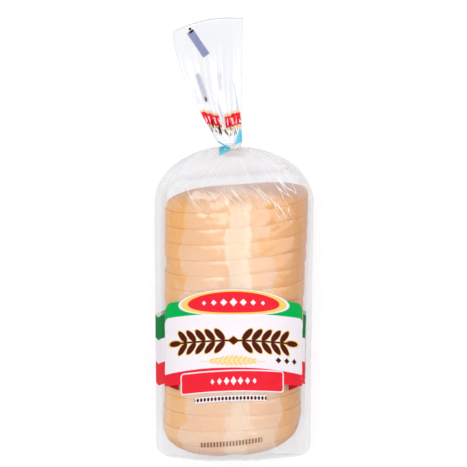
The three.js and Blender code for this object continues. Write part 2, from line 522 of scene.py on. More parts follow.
class Canvas:
    """Inks laid one over another on clear film."""

    def __init__(self, graph: Graph) -> None:
        """Starts with no ink."""
        self.graph = graph
        self.colour: object = (1.0, 1.0, 1.0)
        self.cover: Term | None = None

    def paint(self, shape: Term, colour: Colour) -> None:
        """Lays an ink over what is there.

        Args:
            shape: The mask of where it goes.
            colour: The ink's colour.
        """
        if self.cover is None:
            self.colour, self.cover = colour, shape
            return
        self.cover = self.cover.either(shape)
        share = shape / self.cover.either(LEAST_COVER)
        self.colour = self.graph.blend(share, self.colour, colour)


def oval(u: Term, v: Term, half_u: float, half_v: float) -> Term:
    """How far out a point is in an oval: 1 on its rim."""
    return ((u / half_u).square() + (v / half_v).square()).math("SQRT")


@dataclass(frozen=True)
class Inks:
    """The print's colours, with a darker green and red as painted shade where the print turns down the sides.
    """

    green: Colour = tint(4, 170, 80)
    # Darker green: painted shade where the belt turns down the bag's sides.
    painted_shade_green: Colour = tint(8, 120, 56)
    white: Colour = tint(234, 228, 234)
    red: Colour = tint(230, 38, 54)
    # Darker red: painted shade where the red field turns down round the sides.
    painted_shade_red: Colour = tint(164, 14, 32)
    gold: Colour = tint(236, 200, 108)
    brown: Colour = tint(78, 28, 22)
    cyan: Colour = tint(96, 196, 222)
    # Slate: the printer's bar, and also painted shade along the tail's folds.
    slate: Colour = tint(138, 142, 180)
    black: Colour = tint(40, 30, 40)


@dataclass(frozen=True)
class Lozenges:
    """A row of lozenges that get smaller to both sides, in millimetres."""

    pitch: float
    slimness: float
    size: float
    shrink: float
    half: float

    def mask(self, u: Term, v: Term, edge: float) -> Term:
        """A mask of the row.

        Args:
            u: How far the point is from the row's middle along it.
            v: How far it is above the row.
            edge: How far the mask fades.

        Returns:
            The mask.
        """
        cell = u.math("WRAP", self.pitch / 2, -self.pitch / 2)
        size = (abs(u) * -self.shrink).math("ADD", self.size)
        lozenge = (abs(cell) * self.slimness + abs(v)).under(size, edge)
        return lozenge.both(abs(u).under(self.half, edge))


@dataclass(frozen=True)
class Ear:
    """A wheat ear's slanted kernels on both sides of its stem, in millimetres."""

    pitch: float
    reach: float
    slant: float
    first: int
    count: int
    slim: float = 0.4
    plump: float = 0.5
    stand_off: float = 0.52

    def out(self, u: Term, v: Term) -> Term:
        """How far out the point is in the nearest kernel.

        Args:
            u: Where the point is along the stem.
            v: How far it is above the stem.

        Returns:
            1 on the kernel's rim.
        """
        rise = abs(v)
        along = u - rise * self.slant
        cell = along.math("WRAP", self.pitch / 2, -self.pitch / 2)
        start = (self.first - 0.5) * self.pitch
        beyond = (along - (start + self.count * self.pitch)).either(start - along)
        half_u, half_v = self.pitch * self.slim, self.reach * self.plump
        kernel = oval(cell, rise - self.reach * self.stand_off, half_u, half_v)
        return kernel.either(beyond.math("MULTIPLY_ADD", 1.0, 1.0))


@dataclass(frozen=True)
class Label:
    """The bag's print round its middle, in millimetres round the film and along the bag.

    A tricolour belt runs round the bag. In front it widens to a white panel between green and
    red, with an oval plaque, a pair of brown wheat ears, a gold ear and a red ribbon. A run has
    its middle and half its length, and a band has its top and its bottom.
    """

    inks: Inks = Inks()
    edge: float = 0.5
    lowest: float = -122.0
    highest: float = 45.0
    arch: float = 0.0021
    lower_arch: float = 0.0006
    flat_half: float = 20.0
    belt: tuple[float, ...] = (10.5, -12.0, -35.0, -56.5)
    belt_fall: float = 0.35
    belt_falls_for: float = 22.0
    belt_gap: Pair = (79.5, 122.0)
    panel_half: float = 73.0
    green_band: Pair = (31.4, 9.0)
    green_half: float = 72.0
    green_corner: float = 9.0
    white_band: Pair = (17.0, -34.2)
    white_corners: Pair = (6.0, 1.5)
    white_overlap: float = 12.0
    red_band: Pair = (-30.2, -48.0)
    # The darker red band of painted shade where the red field turns round the sides.
    fold: Pair = (54.0, 72.0)
    fold_band: Pair = (-35.0, -46.4)
    fold_slope: float = 0.4
    plaque_at: float = 27.5
    plaque_half: Pair = (51.0, 11.6)
    plaque_rims: tuple[float, float, float] = (1.06, 1.0, 0.86)
    plaque_row: Lozenges = Lozenges(9.2, 1.05, 3.9, 0.065, 32.2)
    ears_at: float = -8.6
    ears: Ear = Ear(9.2, 11.5, 0.62, 1, 5)
    ear_tip: tuple[float, float, float] = (58.5, 7.0, 2.8)
    ear_stem: tuple[float, float, float] = (3.0, 61.0, 0.9)
    ear_line: float = 0.16
    diamond: Pair = (0.8, 4.2)
    gold_ear_at: float = -27.6
    gold_ear: Ear = Ear(4.4, 4.2, 0.75, -5, 10)
    gold_taper: Pair = (0.045, 0.85)
    gold_stem: Pair = (31.0, 0.35)
    ribbon: Pair = (-37.6, -56.2)
    ribbon_run: Pair = (-1.5, 49.0)
    ribbon_tilt: float = 0.026
    ribbon_rim: float = 1.2
    ribbon_corners: Pair = (3.4, 2.4)
    ribbon_row: Lozenges = Lozenges(6.6, 1.5, 4.4, 0.085, 23.1)
    beads_at: float = -63.4
    beads_tilt: float = 0.035
    beads_run: Pair = (-3.0, 34.0)
    beads_backing: float = 2.9
    bead: tuple[float, float, float] = (3.4, 1.25, 1.9)
    trio_at: Pair = (52.0, -25.5)
    trio: Lozenges = Lozenges(9.0, 1.0, 3.0, 0.0, 13.5)
    ticks_at: float = -106.6
    ticks_tilt: float = 0.1
    ticks_run: Pair = (-2.0, 29.0)
    ticks_cover: float = 0.62
    tick: tuple[float, float, float] = (3.0, 0.85, 2.4)

    def draw(self, canvas: Canvas, u: Term, v: Term) -> None:
        """Draws the whole label.

        Args:
            canvas: What it is drawn on.
            u: How far round the film the point is from the crown.
            v: Where it is along the bag.
        """
        side = abs(u)
        arched = v + u.square() * self.arch
        front = side.under(self.panel_half, self.edge)
        gap = u.over(self.belt_gap[0], 2 * self.edge).both(u.under(self.belt_gap[1], self.edge))
        fallen = v + (side - self.panel_half).both(self.belt_falls_for) * self.belt_fall
        self._belt(canvas, fallen, (1.0 - front).both(1.0 - gap))
        self._panel(canvas, side, arched, front)
        self._plaque(canvas, u, arched - self.plaque_at)
        self._ears(canvas, side, arched - self.ears_at, front)
        self._gold_ear(canvas, u, arched - self.gold_ear_at)
        self._ribbon(canvas, u, arched - u * self.ribbon_tilt)
        self._beads(canvas, u, arched - self.beads_at - u * self.beads_tilt)
        self._ticks(canvas, u, v - u * self.ticks_tilt - self.ticks_at)
        trio = self.trio.mask(u - self.trio_at[0], arched - self.trio_at[1], self.edge)
        canvas.paint(trio, self.inks.brown)

    def _band(self, v: Term, top: float, bottom: float) -> Term:
        """A mask of what lies between two heights."""
        return v.under(top, self.edge).both(1.0 - v.under(bottom, self.edge))

    def _belt(self, canvas: Canvas, v: Term, where: Term) -> None:
        """The three stripes that run round the bag's sides and back."""
        # The green stripe uses the darker green: painted shade on the sides.
        stripes = (self.inks.painted_shade_green, self.inks.white, self.inks.red)
        for top, bottom, ink in zip(self.belt[:-1], self.belt[1:], stripes):
            canvas.paint(self._band(v, top, bottom).both(where), ink)

    def _panel(self, canvas: Canvas, side: Term, arched: Term, front: Term) -> None:
        """The wider green, white and red fields in front."""
        green = self._rounded(side, arched, self.green_band, self.green_half, self.green_corner)
        canvas.paint(green, self.inks.green)
        # A darker red band where the red field turns round each side: painted shade.
        inner, outer = self.fold
        fold = self._band(arched + (outer - side) * self.fold_slope, *self.fold_band)
        fold = fold.both(side.over(inner, self.edge)).both(side.under(outer, self.edge))
        canvas.paint(fold, self.inks.painted_shade_red)
        canvas.paint(self._band(arched, *self.red_band).both(front), self.inks.red)
        top, bottom = self.white_band
        middle = (top + bottom) / 2
        upper_corner, lower_corner = self.white_corners
        white = self._rounded(side, arched, (top, middle), self.panel_half, upper_corner)
        lower = arched + (side.square() - self.flat_half**2).either(0.0) * self.lower_arch
        band = (middle + self.white_overlap, bottom)
        white = white.either(self._rounded(side, lower, band, self.panel_half, lower_corner))
        canvas.paint(white, self.inks.white)

    def _rounded(self, side: Term, v: Term, band: Pair, half: float, radius: float) -> Term:
        """A mask of a box with round corners.

        Args:
            side: How far the point is from the box's middle line.
            v: The point's height.
            band: The box's top and bottom.
            half: Half its width.
            radius: Its corners' radius.

        Returns:
            The mask.
        """
        top, bottom = band
        middle, reach = (top + bottom) / 2, (top - bottom) / 2
        across = (side - (half - radius)).either(0.0)
        along = (abs(v - middle) - (reach - radius)).either(0.0)
        return (across.square() + along.square()).math("SQRT").under(radius, self.edge)

    def _plaque(self, canvas: Canvas, u: Term, v: Term) -> None:
        """A red oval with a gold rim and a row of pale lozenges."""
        out = oval(u, v, *self.plaque_half)
        for limit, ink in zip(self.plaque_rims, (self.inks.white, self.inks.gold, self.inks.red)):
            canvas.paint(out.under(limit, 0.02), ink)
        canvas.paint(self.plaque_row.mask(u, v, self.edge), self.inks.white)

    def _ears(self, canvas: Canvas, side: Term, v: Term, front: Term) -> None:
        """Two large brown wheat ears, stem to stem, with a gold line round them."""
        kernels = self.ears.out(side, v)
        tip_at, tip_long, tip_thick = self.ear_tip
        tip = oval(side - tip_at, v, tip_long, tip_thick)
        start, stop, thick = self.ear_stem
        stem = side.over(start, self.edge).both(side.under(stop, self.edge))
        stem = stem.both(abs(v).under(thick, self.edge))
        slimness, size = self.diamond
        diamond = side * slimness + abs(v)
        for grow, ink in ((self.ear_line, self.inks.gold), (0.0, self.inks.brown)):
            shape = kernels.under(0.98 + grow, 0.08)
            shape = shape.either(tip.under(1.0 + grow * 2, 0.1)).either(stem)
            shape = shape.either(diamond.under(size + grow * 6, self.edge))
            canvas.paint(shape.both(front), ink)

    def _gold_ear(self, canvas: Canvas, u: Term, v: Term) -> None:
        """A slim gold wheat ear below the large ones."""
        taper, thickest = self.gold_taper
        kernels = self.gold_ear.out(u, v * ((u * taper).square() + thickest)).under(1.12, 0.12)
        half, thick = self.gold_stem
        stem = abs(v).under(thick, 0.3).both(abs(u).under(half, self.edge))
        canvas.paint(kernels.either(stem) * 0.9, self.inks.gold)

    def _ribbon(self, canvas: Canvas, u: Term, v: Term) -> None:
        """A red ribbon with a white rim and a white spray of lozenges."""
        top, bottom = self.ribbon
        middle, half = self.ribbon_run
        side = abs(u - middle)
        rims = zip((self.ribbon_rim, 0.0), self.ribbon_corners, (self.inks.white, self.inks.red))
        for rim, corner, ink in rims:
            canvas.paint(self._rounded(side, v, (top + rim, bottom - rim), half + rim, corner), ink)
        rise = v - (top + bottom) / 2
        canvas.paint(self.ribbon_row.mask(u, rise, self.edge), self.inks.white)

    def _beads(self, canvas: Canvas, u: Term, v: Term) -> None:
        """Small brown beads on a white line, where the small print goes."""
        middle, half = self.beads_run
        chain = abs(u - middle).under(half, self.edge)
        pitch, half_u, half_v = self.bead
        bead = oval(u.math("WRAP", pitch / 2, -pitch / 2), v, half_u, half_v)
        canvas.paint(abs(v).under(self.beads_backing, 0.8).both(chain), self.inks.white)
        canvas.paint(bead.under(1.0, 0.25).both(chain), self.inks.brown)

    def _ticks(self, canvas: Canvas, u: Term, v: Term) -> None:
        """Short brown ticks near the bag's closed end."""
        pitch, half_u, half_v = self.tick
        tick = abs(u.math("WRAP", pitch / 2, -pitch / 2)).under(half_u, 0.4).both(abs(v).under(half_v, 0.6))
        middle, half = self.ticks_run
        canvas.paint((tick * self.ticks_cover).both(abs(u - middle).under(half, self.edge)), self.inks.brown)


@dataclass(frozen=True)
class Squeeze:
    """A piece of the tail's printed border, squeezed narrow by the gathers."""

    x: float
    y: float
    half_wide: float
    lean: float
    rise: float


@dataclass(frozen=True)
class Streak:
    """A soft streak: its two ends, half its width and how much it covers."""

    start: Pair
    stop: Pair
    half: float
    cover: float


@dataclass(frozen=True)
class TailPrint:
    """The squeezed border near the tie and the printer's bar by the mouth, placed in the frame.

    All places and sizes are in millimetres. The cap lies on the bar, along it and across it.
    """

    inks: Inks = Inks()
    bar: tuple[float, float, float] = (-33.0, 260.5, -55.0)
    bar_half: Pair = (13.4, 3.3)
    cap_at: Pair = (-12.6, 1.0)
    cap_half: Pair = (1.0, 2.2)
    dot: tuple[float, float, float] = (-40.7, 273.7, 1.2)
    corners: tuple[tuple[Pair, ...], ...] = (
        ((-14.5, 170.0), (-12.7, 159.5), (-2.3, 164.0)),
        ((6.0, 182.6), (1.4, 167.5), (9.8, 170.3)),
    )
    # Slate streaks are painted shade along the tail's folds; the brown ones are folds of print behind the
    # film.
    streaks: tuple[Streak, ...] = (
        Streak((-33.6, 232.8), (-25.0, 207.5), 2.2, 0.34),
        Streak((-26.2, 211.5), (-25.2, 207.0), 0.8, 0.9),
        Streak((-13.4, 233.0), (-13.0, 218.0), 2.6, 0.14),
        Streak((0.2, 225.0), (4.8, 196.0), 0.8, 0.30),
        Streak((-41.0, 236.0), (-32.0, 205.0), 1.0, 0.16),
        Streak((-15.5, 207.0), (-7.0, 187.0), 0.7, 0.20),
        Streak((-8.5, 181.0), (-5.2, 176.5), 0.9, 0.8),
    )
    border: tuple[Squeeze, ...] = (
        Squeeze(-21.5, 191.0, 8.5, 0.30, -0.25),
        Squeeze(-0.5, 190.0, 7.5, 0.12, 0.30),
    )
    border_grain: float = 2.1
    border_stretch: float = 0.16
    border_ragged: float = 1.6

    def draw(self, canvas: Canvas, x: Term, y: Term) -> None:
        """Draws the tail's marks.

        Args:
            canvas: What they are drawn on.
            x: Where the point lies across the bag.
            y: Where it lies along the bag.
        """
        for streak in self.streaks:
            self._streak(canvas, x, y, streak)
        for piece in self.border:
            self._piece(canvas, x, y, piece)
        for corners in self.corners:
            canvas.paint(self._triangle(x, y, corners), self.inks.cyan)
        bar_x, bar_y, turn = self.bar
        c, s = math.cos(math.radians(turn)), math.sin(math.radians(turn))
        along = (x - bar_x) * c + (y - bar_y) * s
        across = (y - bar_y) * c - (x - bar_x) * s
        bar = abs(along).under(self.bar_half[0], 0.8) * abs(across).under(self.bar_half[1], 1.2)
        canvas.paint(bar, self.inks.slate)
        along, across = along - self.cap_at[0], across - self.cap_at[1]
        cap = abs(along).under(self.cap_half[0], 0.5) * abs(across).under(self.cap_half[1], 0.6)
        canvas.paint(cap, self.inks.black)
        dot_x, dot_y, radius = self.dot
        dot = ((x - dot_x).square() + (y - dot_y).square()).math("SQRT")
        canvas.paint(dot.under(radius, 0.5), self.inks.black)

    def _streak(self, canvas: Canvas, x: Term, y: Term, streak: Streak) -> None:
        """A soft streak: in slate, painted shade along a fold of the tail; in brown, where a fold of print
        lies behind the film.

        Args:
            canvas: What it is drawn on.
            x: Where the point lies across the bag.
            y: Where it lies along the bag.
            streak: The streak.
        """
        (ax, ay), (bx, by) = streak.start, streak.stop
        length = math.hypot(bx - ax, by - ay)
        cx, cy = (bx - ax) / length, (by - ay) / length
        along = (x - ax) * cx + (y - ay) * cy
        across = abs((y - ay) * cx - (x - ax) * cy)
        inside = abs(along - length / 2).under(length / 2, 2.5)
        # Slate paints a fold's shade; brown is print.
        ink = self.inks.brown if streak.cover > 0.5 else self.inks.slate
        canvas.paint(across.under(streak.half, streak.half) * inside * streak.cover, ink)

    def _triangle(self, x: Term, y: Term, corners: tuple[Pair, ...]) -> Term:
        """A mask of a triangle.

        Args:
            x: Where the point lies across the bag.
            y: Where it lies along the bag.
            corners: The triangle's corners, turning to the left.

        Returns:
            The mask.
        """
        inside = None
        for (ax, ay), (bx, by) in zip(corners, (*corners[1:], corners[0])):
            length = math.hypot(bx - ax, by - ay)
            within = (y - ay) * ((bx - ax) / length) - (x - ax) * ((by - ay) / length)
            edge = within.over(0.0, 0.8)
            inside = edge if inside is None else inside.both(edge)
        return inside

    def _piece(self, canvas: Canvas, x: Term, y: Term, piece: Squeeze) -> None:
        """One piece of the border: gold, red with white streaks, and brown below.

        Args:
            canvas: What it is drawn on.
            x: Where the point lies across the bag.
            y: Where it lies along the bag.
            piece: The piece's place and slant.
        """
        across = x - piece.x + (y - piece.y) * piece.lean
        along = y - piece.y - across * piece.rise
        at = canvas.graph.vector(across, along * self.border_stretch, piece.x)
        streak = canvas.graph.noise(at, self.border_grain, 2.0, 0.6)
        ragged = along + streak * self.border_ragged
        inside = abs(across).under(piece.half_wide, 1.0)
        halo, low = ragged + 0.5, ragged + 7.5
        canvas.paint(abs(halo).under(8.0, 2.0).both(inside) * 0.5, self.inks.gold)
        canvas.paint(abs(ragged).under(5.2, 0.8).both(inside), self.inks.red)
        canvas.paint(abs(ragged).under(3.4, 0.6).both(inside) * streak.over(0.22, 0.25), self.inks.white)
        canvas.paint(abs(low).under(6.5, 1.2).both(inside) * streak.under(-0.25, 0.2), self.inks.brown)


@dataclass(frozen=True)
class FilmFinish:
    """Thin clear film: mostly see-through, a little milky, glossy, and crackled with fine creases,
    with painted highlights along the creases and a painted sheen over the loaf's middle.

    Places and sizes are in millimetres. The creases' lines and the low shade have a limit and how
    far they fade. The other pairs give where a share starts and where it is full.
    """

    passes: Colour = (0.968, 0.974, 0.984)
    milk: Colour = (0.89, 0.915, 0.955)
    shine: Colour = (0.86, 0.86, 0.88)
    shadow: Colour = (0.66, 0.62, 0.78)
    gloss_roughness: float = 0.17
    ink_roughness: float = 0.5
    index: float = 1.5
    gloss_gain: float = 1.8
    ink_gloss: float = 0.04
    ink_cover: float = 0.985
    relief: float = 0.3 * MM
    line_wide: Pair = (0.02, 0.05)
    fan_wide: Pair = (0.05, 0.06)
    # Painted highlights: how white the crease lines and the bunched fan's lines are painted.
    painted_crease_highlight: float = 0.07
    painted_fan_highlight: float = 0.6
    calm_sides: Pair = (56.0, 67.0)
    calm_shoulder: Pair = (122.0, 136.0)
    calm_fan: Pair = (54.0, 66.0)
    bunch_x: float = 47.0
    bunch_y: float = 127.0
    bunch_heel: float = 123.0
    loaf_turn: float = 0.02
    loaf_half: float = 66.0
    loaf_reach: float = 129.0
    loaf_middle: float = 1.5
    loaf_slant: float = 0.085
    loaf_corner: float = 12.0
    loaf_corner_more: float = 14.0
    shade_low: Pair = (32.0, 24.0)
    shade_share: float = 0.26
    beside: Pair = (62.0, 71.0)
    beside_share: float = 0.2
    beyond: Pair = (116.0, 138.0)
    beyond_share: float = 0.28
    before: Pair = (122.0, 132.0)
    before_share: float = 0.12
    tail: Pair = (176.0, 236.0)
    tail_share: float = 0.22
    # A painted sheen: a pale veil over the loaf's middle, standing in for the softboxes' reflection.
    painted_sheen: float = 0.15
    painted_sheen_at: float = -6.0
    painted_sheen_half: float = 48.0
    haze_floor: Pair = (6.0, 36.0)
    least_haze: float = 0.05
    neck_y: float = 161.0
    rays: float = 0.13

    def build(self, name: str, art: Label | TailPrint | None = None) -> bpy.types.Material:
        """Makes the material.

        Args:
            name: The material's name.
            art: What is printed on the film.

        Returns:
            The material.
        """
        graph = Graph(name)
        x, y, z = graph.place()
        drift = graph.noise(graph.vector(x, y, z), 30.0, 2.0)
        lines, normal = self._creases(graph, (x, y, z), drift)
        haze = self._haze(graph, (x, y, z), drift, lines + self._rays(graph, x, y))
        shade = self._shade(x, y) * z.under(*self.shade_low)
        cover, colour = haze + shade * self.shade_share, graph.blend(shade, self.milk, self.shadow)

        canvas = Canvas(graph)
        if isinstance(art, Label):
            uv_map = graph.add("ShaderNodeUVMap", uv_map="film").outputs[0]
            uv = graph.wire("ShaderNodeSeparateXYZ", {"Vector": uv_map}).outputs
            art.draw(canvas, Term(graph, uv[0]) * (1 / MM), Term(graph, uv[1]) * (1 / MM))
        elif isinstance(art, TailPrint):
            art.draw(canvas, x, y)
        gloss_share = self._fresnel(graph, normal)
        if canvas.cover is not None:
            inked = canvas.cover * self.ink_cover
            cover = cover.either(inked)
            colour = graph.blend(inked / cover.either(LEAST_COVER), colour, canvas.colour)
            gloss_share = gloss_share * (1.0 - canvas.cover * (1 - self.ink_gloss))

        clear = graph.wire("ShaderNodeBsdfTransparent", {"Color": self.passes})
        inputs = {
            "Base Color": colour,
            "Roughness": self.ink_roughness,
            "Specular IOR Level": 0.0,
            "Normal": normal,
        }
        ink = graph.wire("ShaderNodeBsdfPrincipled", inputs)
        body = graph.wire("ShaderNodeMixShader", {"Fac": cover, 1: clear.outputs[0], 2: ink.outputs[0]})
        inputs = {"Color": self.shine, "Roughness": self.gloss_roughness, "Normal": normal}
        gloss = graph.wire("ShaderNodeBsdfGlossy", inputs)
        inputs = {"Fac": gloss_share, 1: body.outputs[0], 2: gloss.outputs[0]}
        return graph.surface(graph.wire("ShaderNodeMixShader", inputs).outputs[0])

    def _creases(self, graph: Graph, place: Place, drift: Term) -> tuple[Term, bpy.types.NodeSocket]:
        """Fine creases: along the bag, across it, and a fan of them where the film is bunched.

        Args:
            graph: The graph that they go in.
            place: Where the point lies.
            drift: Slow noise.

        Returns:
            The painted highlights along the creases, and the normal of their relief.
        """
        x, y, z = place
        long = abs(graph.noise(graph.vector(x + y * 0.35, y * 0.3, z), 16.0, 0.0))
        short_at = graph.vector(x * 0.3 - y * 0.2, y * 0.8 + x * 0.5, z + 40.0)
        short = abs(graph.noise(short_at, 13.0, 0.0))
        fan_at = graph.vector(x * 0.9 + y * 0.7, (x * 0.6 - y * 0.8) * 0.16, z * 0.3)
        fan = abs(graph.noise(fan_at, 6.5, 1.0, 0.4))
        bunched = self._bunched(x, y) * (1.0 - abs(x).rise(*self.calm_fan))
        calm = (1.0 - abs(x).rise(*self.calm_sides)) * (1.0 - y.rise(*self.calm_shoulder))
        line = long.under(*self.line_wide).either(short.under(*self.line_wide)) * drift.over(0.0, 1.0) * calm
        # Painted highlights: thin white lines along the creases, strongest in the bunched fan.
        lines = line * self.painted_crease_highlight + fan.under(*self.fan_wide) * bunched * self.painted_fan_highlight
        height = long.math("MULTIPLY_ADD", 0.5, short * 0.4) * calm + fan * bunched * 1.5
        return lines, graph.bump(height, self.relief, 0.8)

    def _fresnel(self, graph: Graph, normal: bpy.types.NodeSocket) -> Term:
        """How much the film mirrors: as much from inside the bag as from outside."""
        inner = Term(graph, graph.add("ShaderNodeNewGeometry").outputs["Backfacing"])
        index = inner.math("MULTIPLY_ADD", 1 / self.index - self.index, self.index)
        fresnel = graph.wire("ShaderNodeFresnel", {"IOR": index, "Normal": normal}).outputs[0]
        return Term(graph, fresnel).math("MULTIPLY", self.gloss_gain, clamp=True)

    def _bunched(self, x: Term, y: Term) -> Term:
        """Where the film is bunched: over the last slice, and most at its right corner."""
        away = ((x - self.bunch_x).square() + ((y - self.bunch_y) * 0.8).square()).math("SQRT")
        over_heel = (1.0 - abs(y - self.bunch_heel).rise(4.0, 16.0)) * 0.5
        return (1.0 - away.rise(10.0, 24.0)).either(over_heel)

    def _rays(self, graph: Graph, x: Term, y: Term) -> Term:
        """The milky streaks that run out from the neck over the bag's shoulder."""
        back = self.neck_y - y
        turn = x / (back.either(0.0) + 8.0)
        streak = graph.noise(graph.vector(turn * 22.0, back * 0.06, 5.0), 2.4, 1.0, 0.4)
        return streak.over(0.35, 0.5) * (1.0 - back.rise(10.0, 36.0)) * back.over(3.0, 3.0) * self.rays

    def _shade(self, x: Term, y: Term) -> Term:
        """The soft shade that the loaf casts on the film low beside it.

        Args:
            x: Where the point lies across the bag.
            y: Where it lies along the bag.

        Returns:
            The shade, 1 at the loaf's edge.
        """
        corner = y.under(0.0, 100.0) * self.loaf_corner_more + self.loaf_corner
        across = (abs(x - y * self.loaf_turn) + corner - self.loaf_half).either(0.0)
        slanted = y - x * self.loaf_slant * y.rise(-40.0, 80.0)
        along = (abs(slanted - self.loaf_middle) + corner - self.loaf_reach).either(0.0)
        off = (across.square() + along.square()).math("SQRT") - corner
        return off.over(0.0, 3.0) * (1.0 - off.rise(1.0, 10.0))

    def _haze(self, graph: Graph, place: Place, drift: Term, lines: Term) -> Term:
        """How milky the film looks: more where it stands off the loaf, with a painted sheen over the
        loaf's middle and painted highlights along the creases.

        Args:
            graph: The graph that it goes in.
            place: Where the point lies.
            drift: Slow noise.
            lines: The painted highlights of the fine creases, and what the rays add.

        Returns:
            The haze, from 0 to 1.
        """
        x, y, z = place
        beside = (abs(x - y * self.loaf_turn) + drift * 1.5).rise(*self.beside) * self.beside_share
        beyond = (y + drift * 2.0).rise(*self.beyond) * self.beyond_share
        before = (drift * 2.0 - y).rise(*self.before) * self.before_share
        tail = y.rise(*self.tail) * self.tail_share
        # Painted sheen: a pale veil over the loaf's middle, fading to its sides and strongest towards the
        # closed end.
        patch_at = graph.vector(x + y * 0.2, y * 0.7 - x * 0.2, 9.0)
        patch = graph.noise(patch_at, 24.0, 2.0, 0.6)
        near = y.under(60.0, 40.0)
        bow = ((x - self.painted_sheen_at) / self.painted_sheen_half).square()
        painted_sheen = (patch * 0.7 - bow + near * 0.3).over(-0.55, 0.22)
        painted_sheen = painted_sheen * (near * 0.4 + 1.0) * self.painted_sheen
        haze = beside.either(beyond).either(before) * z.rise(*self.haze_floor)
        return haze.either(painted_sheen) - tail + lines + drift * 0.02 + self.least_haze


# The bag


@dataclass(frozen=True)
class BagForm:
    """The film's smooth form: a filled body, a drawn-in shoulder, a tied neck and a flared tail."""

    quarter: int = 60
    half_width: float = 0.0755
    fold_height: float = 0.041
    crown_height: float = 0.1035
    corner: Pair = (0.048, 0.0)
    corner_pull: Pair = (0.054, 0.0003)
    side_pull: Pair = (0.058, 0.003)
    side: Pair = (0.0605, 0.0095)
    cheek: Pair = (0.0685, 0.069)
    cheek_pull: Pair = (0.0625, 0.088)
    crown_pull_x: float = 0.038
    fold_soft: float = 0.004
    end_y: float = -0.1375
    end_depth: float = 0.030
    end_corner: float = 0.011
    shoulder_y: float = 0.110
    shoulder_length: float = 0.057
    dome_y: float = 0.121
    dome_length: float = 0.046
    neck: Pair = (-0.0005, 0.050)
    neck_rings: tuple[Pair, ...] = (
        (0.1644, 0.0182),
        (0.1634, 0.0152),
        (0.1600, 0.0126),
        (0.1573, 0.0106),
        (0.1570, 0.0082),
        (0.1576, 0.0061),
        (0.1618, 0.0060),
        (0.1650, 0.0074),
    )
    flare_y: float = 0.169
    tail_length: float = 0.1085
    tail_start_x: float = -0.0035
    tail_lean: float = 0.0203
    tail_half: Pair = (0.0115, 0.033)
    tail_thick: Pair = (0.008, 0.0016)
    tail_droop: float = 0.024
    tail_arch: float = 0.004
    mouth_turn: float = 0.006
    mouth_bulge: float = 0.005

    @property
    def around(self) -> int:
        """How many points a ring has."""
        return 4 * self.quarter

    def turns(self) -> np.ndarray:
        """Each point's place round the bag, from 0 at the bottom by the right to 4."""
        return np.arange(self.around) / self.quarter

    def outline(self) -> np.ndarray:
        """The filled body seen from its end.

        Returns:
            The x and z of each point of a ring, in metres.
        """
        ridge, floor = (self.half_width, self.fold_height), (0.0, 0.0)
        top, top_pull = (0.0, self.crown_height), (self.crown_pull_x, self.crown_height)
        runs = (
            (floor, floor, self.corner, self.corner, 4 / 12),
            (self.corner, self.corner_pull, self.side_pull, self.side, 3 / 12),
            (self.side, self.side, ridge, ridge, 5 / 12),
            (ridge, ridge, self.cheek, self.cheek, 4 / 12),
            (self.cheek, self.cheek_pull, top_pull, top, 8 / 12),
        )
        half = [np.zeros((1, 2))]
        for p0, c0, c1, p1, share in runs:
            t = np.linspace(0, 1, round(share * self.quarter) + 1)[1:, None]
            if p0 == c0:
                half.append(np.array(p0) * (1 - t) + np.array(p1) * t)
                continue
            weights = ((1 - t) ** 3, 3 * t * (1 - t) ** 2, 3 * t * t * (1 - t), t**3)
            half.append(sum(w * np.array(p) for w, p in zip(weights, (p0, c0, c1, p1))))
        half = np.concatenate(half)
        ring = np.concatenate([half, half[-2:0:-1] * (-1, 1)])
        softened = (np.roll(ring, 2, 0) + np.roll(ring, -2, 0) + 2 * ring) / 4
        near_ridge = np.exp(-np.square((ring[:, 1] - self.fold_height) / self.fold_soft))[:, None]
        return ring + (softened - ring) * near_ridge

    def body(self, y: np.ndarray) -> np.ndarray:
        """Rings of the body and the shoulder.

        Args:
            y: Where the rings are along the bag.

        Returns:
            The rings' points, by ring and by place round it.
        """
        y = y[:, None]
        x, z = self.outline().T
        angle = self.turns() * math.pi / 2 - math.pi / 2
        end = np.clip((self.end_y + self.end_depth - y) / self.end_depth, 0, 1)
        corner = np.clip((self.end_y + self.end_corner - y) / self.end_corner, 0, 1)
        shoulder = np.clip((y - self.shoulder_y) / self.shoulder_length, 0, 1)
        crown = np.clip((y - self.dome_y) / self.dome_length, 0, 1)
        half = (self.half_width - self.end_corner * (1 - dome(corner))) * dome(shoulder)
        middle = self.fold_height + (self.neck[1] - self.fold_height) * shoulder
        swell = dome(end) * dome(crown)
        up = np.where(
            z >= self.fold_height,
            (z - self.fold_height) / (self.crown_height - self.fold_height),
            z / self.fold_height - 1,
        )
        gather = crown * crown
        across = (x / self.half_width * (1 - gather) + np.cos(angle) * gather) * half
        height = up * (1 - gather) + np.sin(angle) * gather
        reach = np.where(height > 0, self.crown_height - middle, middle) * swell
        points = np.empty((len(y), self.around, 3))
        points[..., 0] = self.neck[0] * shoulder + across
        points[..., 1] = y
        points[..., 2] = middle + height * reach
        return points

    def neck_ring(self, y: float, radius: float) -> np.ndarray:
        """A round ring about the neck."""
        angle = self.turns() * math.pi / 2 - math.pi / 2
        x, z = self.neck
        return np.stack([x + radius * np.cos(angle), np.full(self.around, y), z + radius * np.sin(angle)], -1)

    def across_tail(self) -> tuple[np.ndarray, np.ndarray]:
        """Where each point of a ring lies in the tail.

        Returns:
            Its place across, from 1 at the right edge to -1, and whether it is on the upper sheet.
        """
        turn = self.turns()
        upper = (turn > 1) & (turn < 3)
        place = np.where(upper, 2 - turn, np.where(turn <= 1, turn, turn - 4))
        return place, upper

